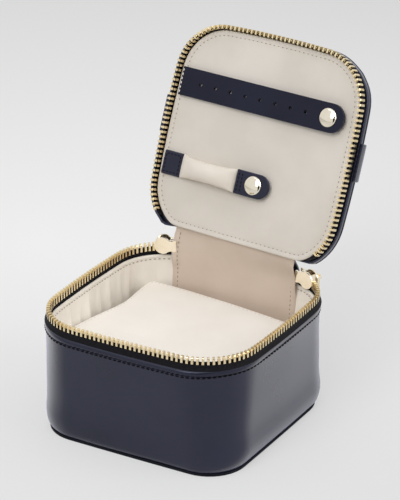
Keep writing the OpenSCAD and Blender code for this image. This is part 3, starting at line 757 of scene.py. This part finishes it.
def spin_round_corner(p, angle):
    x, y = p[0] - CORNER, p[1] - CORNER
    co, si = math.cos(angle), math.sin(angle)
    return (x * co - y * si + CORNER, x * si + y * co + CORNER, p[2])


tooth = last_tooth("body_zip_teeth")
points, faces = [], []
for step in (1, 2):
    for sign in (1, -1):
        for triangle in tooth:
            spun = [spin_round_corner(p, TOOTH_STEP * step) for p in triangle]
            faces.append(tuple(len(points) + i for i in range(3)))
            points += [Vector((sign * x, y, z)) * MM for x, y, z in spun]
end_teeth = from_points("end_zip_teeth", points, faces, merge=TOUCH)
done(end_teeth, "case", gold, smooth=30)
for side_name in ("left", "right"):
    softened(side_name + "_slider", plate_gold, 0.16, side_name + "_slider_metal")
    softened(side_name + "_pull", gold, 0.18, side_name + "_pull_metal")
for holder in ("earring_strap", "ring_roll"):
    softened(holder + "_snap_cap", cap_gold, 0.08, holder + "_cap_metal", angle=40)
    softened(holder + "_snap_socket", gold, 0.12, holder + "_socket_metal")
    softened(holder + "_snap_stud", gold, 0.15, holder + "_stud_metal")

# %% [markdown]
# ## Linings of the case
#
# The wall lining is satiny cloth over thin padding, sewn along its top edge and a little too long
# for the wall, so it gathers into upright folds below the stitches. The folds are sculpted in code:
# each one is a ridge that starts at the seam and widens on its way down.


# %% Wall lining
SEW_Z, HEM_Z = 55.1, 56.5
GATHER_TOP, GATHER_REACH = 56.4, 14
# height, half width and corner radius of the wall's inside, each at the floor and at the rim
INSIDE_Z, INSIDE_HALF, INSIDE_R = (4.3, 57.2), (50.9, 55.7), (17.15, 26.9)


def lining_ring(z, inset):
    share = (z - INSIDE_Z[0]) / (INSIDE_Z[1] - INSIDE_Z[0])
    half, r = (low + share * (high - low) - inset for low, high in (INSIDE_HALF, INSIDE_R))
    return square_ring(half, r, BOW / max(share, 0.2), z, sides=64, corner=26)


# place along the left wall, width and height of each fold
FOLDS = ((-32, 2.0, 1.3), (-22, 1.7, 1.6), (-12, 1.5, 0.9), (-4, 2.3, 2.0), (6, 1.5, 1.3),
         (15, 1.9, 2.0), (25, 1.5, 1.1), (33, 1.8, 1.8), (42, 2.2, 1.3))


def gather(x, y, z):
    """How far a point of the lining stands in towards the middle."""
    down = min(max((GATHER_TOP - z) / GATHER_REACH, 0), 1)
    along = y if abs(x) > abs(y) else x
    ridge = 0.0
    if x < 0 and abs(x) > abs(y) - 6:
        for place, width, height in FOLDS:
            centre = place + 2.2 * (1 - down) - 1.5 * down * math.sin(place)
            ridge += height * math.exp(-((y - centre) / (width * (0.7 + 0.6 * down))) ** 2)
    else:
        ridge = 0.7 + 0.9 * wave(along * 1.6, 3, z / 6, 11)
    return down * ridge + 0.3 * wave(x, y, z, 14, 3)


front = [4.4, 6, 10, 15, 20, 25, 30, 34, 38, 41, 44, 46.5, 49, 51, 52.6, 53.8, 54.7, 55.3, 55.9, 56.4]
hem = [(56.9, 1.05), (57.15, 0.7), (57.15, 0.3), (56.9, 0.05)]
behind = [50, 40, 28, 16, 4.4]
rings = [lining_ring(*p) for p in [(z, 1.2) for z in front] + hem + [(z, 0.0) for z in behind]]
lining = sweep("wall_lining", rings, closed=True)


def gathered(x, y, z):
    """The lining's folds, and the shallow groove that its seam pulls."""
    n = outwards((x, y, z))
    groove = -0.3 * math.exp(-((z - SEW_Z) / 0.5) ** 2)
    d = (gather(x, y, z) if z < HEM_Z else 0) + groove
    return (x - n.x * d, y - n.y * d, z)


shape(lining, gathered)
stand_in(lining, "body_lining", wall_cloth, smooth=60)
row = lining_ring(SEW_Z, 1.42)
stitches("wall_lining_stitches", walk(row + row[:1], 2.4), lambda p: -outwards(p), "case", beige_thread,
         length=1.35, thick=0.4)

# %% Floor lining
floor_cloth = softened("floor_lining", wall_cloth, 0.3, "floor_lining_cloth")

# %% [markdown]
# ## Cushion
#
# The cushion is a block of foam in cream cloth that lifts out. It lies a few degrees askew, its
# right side has settled lower, and its left side is pulled in behind the middle. A cube is
# subdivided, its sharp edges are bevelled, and the settling is sculpted in code, which is as close
# to such a firm pad as a cloth simulation would be.

# %% Cushion
PAD_HALF, PAD_LOW, PAD_HIGH = 45.2, 4.5, 42.2
PAD_X, PAD_Y, PAD_TURN = -0.6, 0.8, math.radians(-4)
deselect()
bpy.ops.mesh.primitive_cube_add(size=1, location=(0, 0, (PAD_LOW + PAD_HIGH) / 2 * MM))
pad = bpy.context.object
pad.name = pad.data.name = "cushion_cream"
pad.scale = (2 * PAD_HALF * MM, 2 * PAD_HALF * MM, (PAD_HIGH - PAD_LOW) * MM)
bpy.ops.object.transform_apply(location=True, rotation=True, scale=True)
bpy.ops.object.mode_set(mode="EDIT")
bpy.ops.mesh.select_all(action="SELECT")
bpy.ops.mesh.subdivide(number_cuts=31)
bpy.ops.mesh.select_all(action="DESELECT")
bpy.ops.mesh.select_mode(type="EDGE")
bpy.ops.mesh.edges_select_sharp(sharpness=math.radians(60))
bpy.ops.mesh.bevel(offset=1.1 * MM, segments=3, affect="EDGES")
bpy.ops.object.mode_set(mode="OBJECT")


def settle(x, y, z):
    """The block's place once it has settled: lower at the right, drawn out and pulled in at the left."""
    up = (z - PAD_LOW) / (PAD_HIGH - PAD_LOW)
    u, v = x / PAD_HALF, y / PAD_HALF
    z += up * (0.8 - 1.53 * (u + 1) + 0.35 * wave(x, y, 0, 30) + 0.5 * (1 - u * u) * (1 - v * v))
    swell = 0.66 * math.sin(math.pi * min(max(up, 0), 1))
    x += swell * u * abs(u) ** 3
    y += swell * v * abs(v) ** 3
    if u < 0:
        x += 4.2 * u * max(up, 0) ** 0.7
        dent = 3.4 * math.exp(-((y - 13) / 15) ** 2) - 0.9 * math.exp(-((y + 22) / 12) ** 2)
        x += up * abs(u) ** 4 * dent
    x += 0.3 * wave(x, y, z, 18, 7) * abs(u)
    y += 0.3 * wave(y, z, x, 18, 9) * abs(v)
    y -= 1.6 * ease(-0.55, -1, u) * ease(0.6, 1, v)
    co, si = math.cos(PAD_TURN), math.sin(PAD_TURN)
    return (x * co - y * si + PAD_X, x * si + y * co + PAD_Y, z)


shape(pad, settle)
stand_in(pad, "cushion_pad", cream_cloth, smooth=60)


def pad_top(x, y):
    """A point just above the settled top."""
    x, y, z = settle(x, y, PAD_HIGH)
    return (x, y, z + 0.02)


def upwards(_):
    return (0, 0, 1)


edge = PAD_HALF - 2.0
across = np.linspace(-edge, edge, 30)
loop = [(t, edge) for t in across] + [(edge, t) for t in across[::-1]]
loop += [(t, -edge) for t in across[::-1]] + [(-edge, t) for t in across]
loop = [pad_top(*p) for i, p in enumerate(loop) if i == 0 or p != loop[i - 1]]
stitches("cushion_stitches", walk(loop, 2.4), upwards, "cushion", cream_thread,
         length=1.1, thick=0.22)

# %% [markdown]
# ## Hinge panels
#
# Inside, a wide beige panel runs from the floor up the back wall and on to the lid's lining, and
# outside a leather strip joins the rim to the lid. Both are sheets that bend as the lid moves, so
# they blend from the case to the lid. The open lid has turned a few degrees, and the upper part
# of each panel turns with it.


# %% Hinge panels
def panel(name, left, right, thick, line):
    """A sheet swept up a line of (y, z); its rings are flat rounded rectangles."""
    xs, h = np.linspace(left, right, 41), thick / 2
    section = [(x, -h) for x in xs] + [(right + 0.3, 0)] + [(x, h) for x in xs[::-1]] + [(left - 0.3, 0)]
    return sweep(name, [[(x, y + d, z) for x, d in section] for y, z in line])


def with_lid(x, y, z):
    """The upper part of a panel turns with the lid."""
    return (x, y - x * math.tan(TURN) * ease(59, 71, z), z)


def smooth_line(points, count):
    """The line through these points, as evenly spaced ones."""
    p = np.array(points, float)
    at = np.r_[0, np.cumsum(np.linalg.norm(np.diff(p, axis=0), axis=1))]
    s = np.linspace(0, at[-1], count)
    return list(zip(np.interp(s, at, p[:, 0]), np.interp(s, at, p[:, 1])))


def trim_to_lid(ob, past=0.15):
    """Cuts away what reaches past the plane of the lid's back, and closes the cut."""
    open_mesh(ob)
    bpy.ops.mesh.bisect(plane_co=OPENED @ (Vector((0, LID_BACK + past, 70)) * MM),
                        plane_no=OPENED.to_3x3() @ Vector((0, -1, 0)), clear_outer=True, use_fill=True)
    close_mesh()


PANEL_LEFT, PANEL_RIGHT, PANEL_THICK = -36.6, 34.4, 0.7
inner_line = smooth_line([(48.7, 4.5), (52.0, 54.5), (52.4, 60), (52.4, 65), (52.2, 70), (52.4, 78)], 40)
inner_panel = panel("hinge_panel_cloth_painted_shade", PANEL_LEFT, PANEL_RIGHT, PANEL_THICK, inner_line)


def lie(x, y, z):
    """The panel is a little uneven, and its edges lie over the ends of the sliders."""
    over = ease(31.5, 34.5, abs(x)) * ease(50, 57, z) * (1 - ease(68, 72, z))
    return (x, y + 0.3 * wave(x, z, 0, 26, 2) + 0.3 * (x / 35) ** 2 * (1 - over) - 1.5 * over, z)


shape(inner_panel, lie)
shape(inner_panel, with_lid)
trim_to_lid(inner_panel, -1.2)
done(inner_panel, None, panel_cloth_painted_shade, smooth=60, stands_for=("hinge_lining",))
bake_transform(inner_panel)
for seam_x, side_name in ((PANEL_LEFT + 3.0, "left"), (PANEL_RIGHT - 2.8, "right")):
    seam = [with_lid(*lie(seam_x, y - 0.38, z)) for y, z in inner_line if z < 71]
    row = stitches("hinge_panel_stitches_" + side_name, walk(seam, 2.4), lambda p: (0, -1, 0), None,
                   beige_thread, length=1.25, thick=0.4)
    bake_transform(row)
outer_line = smooth_line([(57.4, 57.4), (58.1, 60), (58.3, 63), (57.7, 66), (56.6, 68.6), (55.0, 71.1),
                          (53.6, 73)], 30)
outer_panel = panel("hinge_leather_strip", -33, 33, 1.3, outer_line)
shape(outer_panel, with_lid)
trim_to_lid(outer_panel)
done(outer_panel, None, navy_leather, smooth=60, stands_for=("hinge_leather",))
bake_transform(outer_panel)

# %% [markdown]
# ## Lid
#
# The lid is a shallow tray of leather: a low wall, and a top with a rounded edge over thin padding,
# which gives it a slight crown. A band of the same leather crosses it and turns down over both
# sides. Its straight back is where the hinge is sewn on.


# %% Lid leather
CROWN, LID_HALF, TOP_FROM = 0.7, 57, 73


def crown(x, y):
    """How far the padding lifts the lid's top."""
    return CROWN * max(1 - (x / LID_HALF) ** 2, 0) * max(1 - (y / LID_HALF) ** 2, 0)


def crowned(x, y, z):
    return (x, y, z + (crown(x, y) if z > TOP_FROM else 0))


def lid_ring(inset, z, cut=LID_BACK, **more):
    return square_ring(ZIP_HALF - inset, max(ZIP_R - inset, 5), BOW, z, cut=cut, **more)


def off_square(x, y, z):
    """The lid's leather stands in a little at the front and out at the left."""
    n = outwards((x, y, 0))
    move = -1.3 * ease(0.3, 0.9, -n.y) + 2.5 * ease(0.2, 0.8, -n.x) * ease(74.2, 73.0, z)
    reach = ease(38, 52, max(abs(x), abs(y)))
    return (x + n.x * move * reach, y + n.y * move * reach, z)


def downwards(_):
    """The way that stitches inside the shut lid face."""
    return (0, 0, -1)


def lid_piece(ob, node, material, smooth=50):
    """Swings a piece that was modelled shut open, and finishes it."""
    ob.data.transform(OPENED)
    stand_in(ob, node, material, smooth)


profile = [(2.2, 70.2), (2.05, 69.95), (1.6, 69.85), (1.1, 69.95), (0.92, 70.3), (0.86, 71.2), (0.92, 72.3),
           (1.3, 72.5), (2.25, 72.5)]
rings = [lid_ring(i, z, cut=LID_BACK - max(i - 0.9, 0), **FINE) for i, z in profile]
lid_wall = sweep("lid_wall_leather", rings, closed=True)
shape(lid_wall, off_square)
lid_piece(lid_wall, "lid_gusset", navy_leather)
profile = [(8, 72.55), (2.0, 72.55), (1.0, 72.6), (0.72, 72.85), (0.66, 73.2), (0.85, 73.6), (1.4, 73.85)]
profile += [(inset, 73.95) for inset in (2.4, 4, 8, 14, 22, 32, 42, 50)]
rings = [lid_ring(i, z, cut=LID_BACK - max(i - 0.7, 0), **FINE) for i, z in profile]
lid_top = sweep("lid_top_leather", rings)
shape(lid_top, crowned)
shape(lid_top, off_square)
lid_piece(lid_top, "lid_top_panel", navy_leather)

# %% Lid band
BAND_IN, BAND_OUT, BAND_LOW, BAND_TOP, BAND_Y = 56.75, 57.95, 69.95, 75.15, -4
outer_edge = [(-BAND_OUT + step, z) for step, z in
              ((0, BAND_LOW), (0, 71.5), (0, 73.2), (0.3, 74.3), (0.9, 74.95), (1.9, BAND_TOP))]
outer_edge += [(x, BAND_TOP) for x in np.linspace(-54, 54, 19)] + [(-x, z) for x, z in reversed(outer_edge)]
inner_edge = [(x * (BAND_IN / BAND_OUT), z - 1.2 if z > 73.5 else z) for x, z in reversed(outer_edge)]
loop = outer_edge + inner_edge
rings = [[(x * (1 - e * 0.002), BAND_Y + v, z - e * 0.12) for x, z in loop] for v, e in
         ((-9.5, 2), (-9.2, 0.5), (-8.7, 0), (-5, 0), (0, 0), (5, 0), (8.7, 0), (9.2, 0.5), (9.5, 2))]
band = sweep("lid_band_leather", rings)
shape(band, crowned)
shape(band, lambda x, y, z: (x - (1.7 * ease(-50, -56, x) * ease(75.2, 73.4, z)), y, z))
lid_piece(band, "lid_band", navy_leather)
for sign, edge_name in ((-1, "front"), (1, "back")):
    seam_y = BAND_Y + sign * 7.8
    seam = [(x, seam_y, BAND_TOP + crown(x, seam_y) + 0.02) for x in np.linspace(-55, 55, 45)]
    stitches("lid_band_stitches_" + edge_name, walk(seam, 2.4), upwards, "lid", navy_thread,
             matrix=OPENED)

# %% [markdown]
# ## Lid lining
#
# The lining is drawn over foam and turned under at its edge, with a row of stitches a few
# millimetres in that pulls a shallow groove. It is swept inwards from its edge, ring by ring.

# %% Lid lining
LINING_IN, LINING_BACK, GROOVE_IN = 4.1, 50.4, 6.8
profile = [(12, 68.6), (4.6, 68.6), (4.15, 68.35), (LINING_IN, 67.95), (4.3, 67.62), (4.8, 67.5),
           (5.6, 67.52), (6.3, 67.66), (GROOVE_IN, 67.74), (7.3, 67.66), (8.4, 67.5), (11, 67.42),
           (16, 67.38), (24, 67.35), (34, 67.35), (44, 67.35), (51, 67.35)]
rings = [lid_ring(i, z, cut=LINING_BACK - (i - LINING_IN), **CLOSE) for i, z in profile]
face = sweep("lid_lining_cloth_piece", rings)
shape(face, lambda x, y, z: (x, y, z + (0.16 * wave(x, y, 0, 24, 4) if z < 67.6 else 0)))
lid_piece(face, "lid_lining", lid_cloth, smooth=60)
row = lid_ring(GROOVE_IN, 67.62, cut=LINING_BACK - (GROOVE_IN - LINING_IN), **CLOSE)
stitches("lid_lining_stitches", walk(row + row[:1], 2.5), downwards, "lid", beige_thread,
         length=0.9, thick=0.36, matrix=OPENED)
softened("lid_padding", foam, 0.3, "lid_padding_foam")
for node in ("lid_board", "base_board"):
    dress(frame["nodes"][node], board)

# %% [markdown]
# ## Earring strap and ring roll
#
# The strap is a plain strip of leather, sewn down at its left end, with holes for earrings and a
# snap at the round end. The roll is a stuffed sleeve between two leather tabs. It is thickest in the
# middle and flat where it is sewn in, so its rings go from flat to round and back.

# %% Earring strap
softened("earring_strap", strap_leather, 0.3, "earring_strap_leather", segments=3)


def on_lining(x, y, lift):
    """A point above the lid's lining, as in the CAD source, with the lid shut."""
    return (x, y, LID_FACE - lift)


STRAP_END, STRAP_Y = -50.8, -22.4
seam = [on_lining(STRAP_END + 0.5, STRAP_Y + v, 2.0) for v in np.linspace(-6.6, 6.6, 8)]
stitches("strap_end_stitches", walk(seam, 2.1), downwards, "earring_strap", white_thread,
         length=1.35, thick=0.55, matrix=OPENED)

# %% Ring roll
TAB_END, ROLL_Y = -51, 19.8
ROLL_X, ROLL_LONG = TAB_END + 11.9, 33.6
TAB_HALF, SNAP_TAB_HALF = 4.6, 5


def squarish(value, power):
    """Pushes a circle's sine or cosine out towards a square."""
    return math.copysign(abs(value) ** power, value)


def roll_ring(share):
    """A ring of the sleeve: flat where it is sewn in, at both ends, and nearly round between."""
    fill = math.sin(math.pi * share) ** 0.6 if 0 < share < 1 else 0.0
    wide = 6.2 - 1.25 * fill + 0.12 * wave(share * 30, 0, 0, 3)
    thick, power = 1.0 + 3.4 * fill, 0.55 + 0.45 * fill
    lift = 1.35 + 1.35 * share + 2.3 * fill
    return [on_lining(ROLL_X + ROLL_LONG * share, ROLL_Y + wide * squarish(math.cos(a), power),
                      lift + thick * squarish(math.sin(a), power))
            for a in np.linspace(0, 2 * math.pi, 28, endpoint=False)]


def pucker(x, y, z):
    """The sleeve is gathered where it is sewn into its tabs."""
    share = (x - ROLL_X) / ROLL_LONG
    near_end = math.exp(-(share / 0.12) ** 2) + math.exp(-((1 - share) / 0.12) ** 2)
    return (x, y, z - 0.3 * near_end * math.sin(y * 2.1) * (0.02 < share < 0.98) + 0.2 * wave(x, y, z, 8))


roll = sweep("ring_roll_sleeve", [roll_ring(s) for s in np.linspace(0, 1, 25)])
shape(roll, pucker)
lid_piece(roll, "ring_roll", roll_cloth, smooth=70)
softened("ring_roll_tab", tab_leather, 0.85, "ring_roll_tab_leather", segments=4)
softened("ring_roll_snap_tab", tab_leather, 0.45, "ring_roll_snap_tab_leather", segments=3)
box = [(1.6, -TAB_HALF), (10.2, -TAB_HALF), (10.2, TAB_HALF), (1.6, TAB_HALF), (1.6, -TAB_HALF)]
seam = [on_lining(TAB_END + u, ROLL_Y + v, 1.98) for u, v in box]
stitches("ring_roll_tab_stitches", walk(seam, 2.1), downwards, "lid", navy_thread,
         length=1.4, thick=0.5, matrix=OPENED)
spots = []
for u in (47.2, 49.2):
    ends = [on_lining(TAB_END + u, ROLL_Y + v, 3.52) for v in (-SNAP_TAB_HALF, SNAP_TAB_HALF)]
    spots += walk(ends, 2.0)
stitches("ring_roll_end_stitches", spots, downwards, "ring_roll", navy_thread,
         length=1.4, thick=0.5, matrix=OPENED)

# %% [markdown]
# ## Floor and light
#
# The case stands on a large pale floor that fills the view. A pool of light is painted into the floor's
# colour, which makes it lightest behind the case, and the floor shows this colour as a glow to the camera
# and, more weakly, in reflections. Soft lamps hang above, in front and at the right, and the world adds
# an even grey. A dark card out of view at the right front is what the polished leather and the snaps
# reflect as their dark side.

# %% Floor, lamps and world
deselect()
bpy.ops.mesh.primitive_plane_add(size=12)
floor = bpy.context.object
floor.name = "floor"
# The pool of light painted into the floor's colour: its middle and its radius, in metres.
PAINTED_POOL_AT, PAINTED_POOL_R = (-0.168, 0.135), 0.62
floor_finish, floor_tree, floor_shader = start_material("pale_floor", 0.9, specular=0.1)
join = floor_tree.links.new
painted_light_pool = pattern(floor_tree, "Gradient", gradient_type="SPHERICAL",
               stretch=(1 / PAINTED_POOL_R, 1 / PAINTED_POOL_R, 1), shift=(-PAINTED_POOL_AT[0] / PAINTED_POOL_R, -PAINTED_POOL_AT[1] / PAINTED_POOL_R, 0))
shade = blend_colours(floor_tree, floor_shader, painted_light_pool, tone(212, 212, 212), tone(240, 240, 240), 0.0, 1.0)


def reckon(tree, operation, *values):
    """A Math node whose inputs are plain numbers or other nodes' outputs."""
    node = add(tree, "Math")
    node.operation = operation
    for socket, value in zip(node.inputs, values):
        if isinstance(value, float):
            socket.default_value = value
        else:
            tree.links.new(value, socket)
    return node.outputs[0]


# The floor glows with its colour, painted pool of light included. The camera sees this glow, and reflections
# see it at a fifth of that strength.
glow = add(floor_tree, "Emission")
rays = add(floor_tree, "LightPath")
mirrored = reckon(floor_tree, "MULTIPLY", rays.outputs["Is Glossy Ray"], 0.2)
seen_by = reckon(floor_tree, "MAXIMUM", rays.outputs["Is Camera Ray"], mirrored)
mix = add(floor_tree, "MixShader")
join(shade.outputs["Color"], glow.inputs["Color"])
join(reckon(floor_tree, "MULTIPLY", seen_by, 0.62), mix.inputs["Fac"])
join(floor_shader.outputs["BSDF"], mix.inputs[1])
join(glow.outputs["Emission"], mix.inputs[2])
join(mix.outputs["Shader"], floor_tree.nodes["Material Output"].inputs["Surface"])
dress(floor, floor_finish)


def lamp(name, size, power, point, target):
    bpy.ops.object.light_add(type="AREA", location=point)
    ob = bpy.context.object
    ob.name = name
    ob.data.shape = "SQUARE"
    ob.data.size = size
    ob.data.energy = power
    ob.rotation_euler = (Vector(target) - Vector(point)).to_track_quat("-Z", "Y").to_euler()


lamp("overhead_lamp", 2.6, 14, (-0.1, -0.2, 2.3), (0, 0, 0.05))
lamp("front_lamp", 1.6, 32, (0.15, -1.9, 1.75), (0, 0, 0.08))
lamp("right_lamp", 1.2, 9, (1.5, 0.3, 0.8), (0, 0, 0.05))
deselect()
bpy.ops.mesh.primitive_plane_add(size=1, location=(0.95, -1.5, 0.62), rotation=(math.radians(90), 0, 0))
card = bpy.context.object
card.name = "dark_card"
card.scale = (1.7, 1.2, 1)
bpy.ops.object.transform_apply(location=True, rotation=True, scale=True)
card_finish, _, card_shader = start_material("dark_card_paper", 0.9, specular=0.1)
give(card_shader, Base_Color=tone(20, 20, 22))
dress(card, card_finish)
world = bpy.data.worlds.new("soft_grey")
bpy.context.scene.world = world
world.use_nodes = True
sky_tree = world.node_tree
sky = sky_tree.nodes["Background"]
give(sky, Color=(1, 1, 1, 1))
rays = add(sky_tree, "LightPath")
seen_by = reckon(sky_tree, "MAXIMUM", rays.outputs["Is Camera Ray"], rays.outputs["Is Glossy Ray"])
spread(sky_tree, seen_by, sky.inputs["Strength"], 0.5, 0.82)
bpy.context.scene.view_settings.view_transform = "Standard"
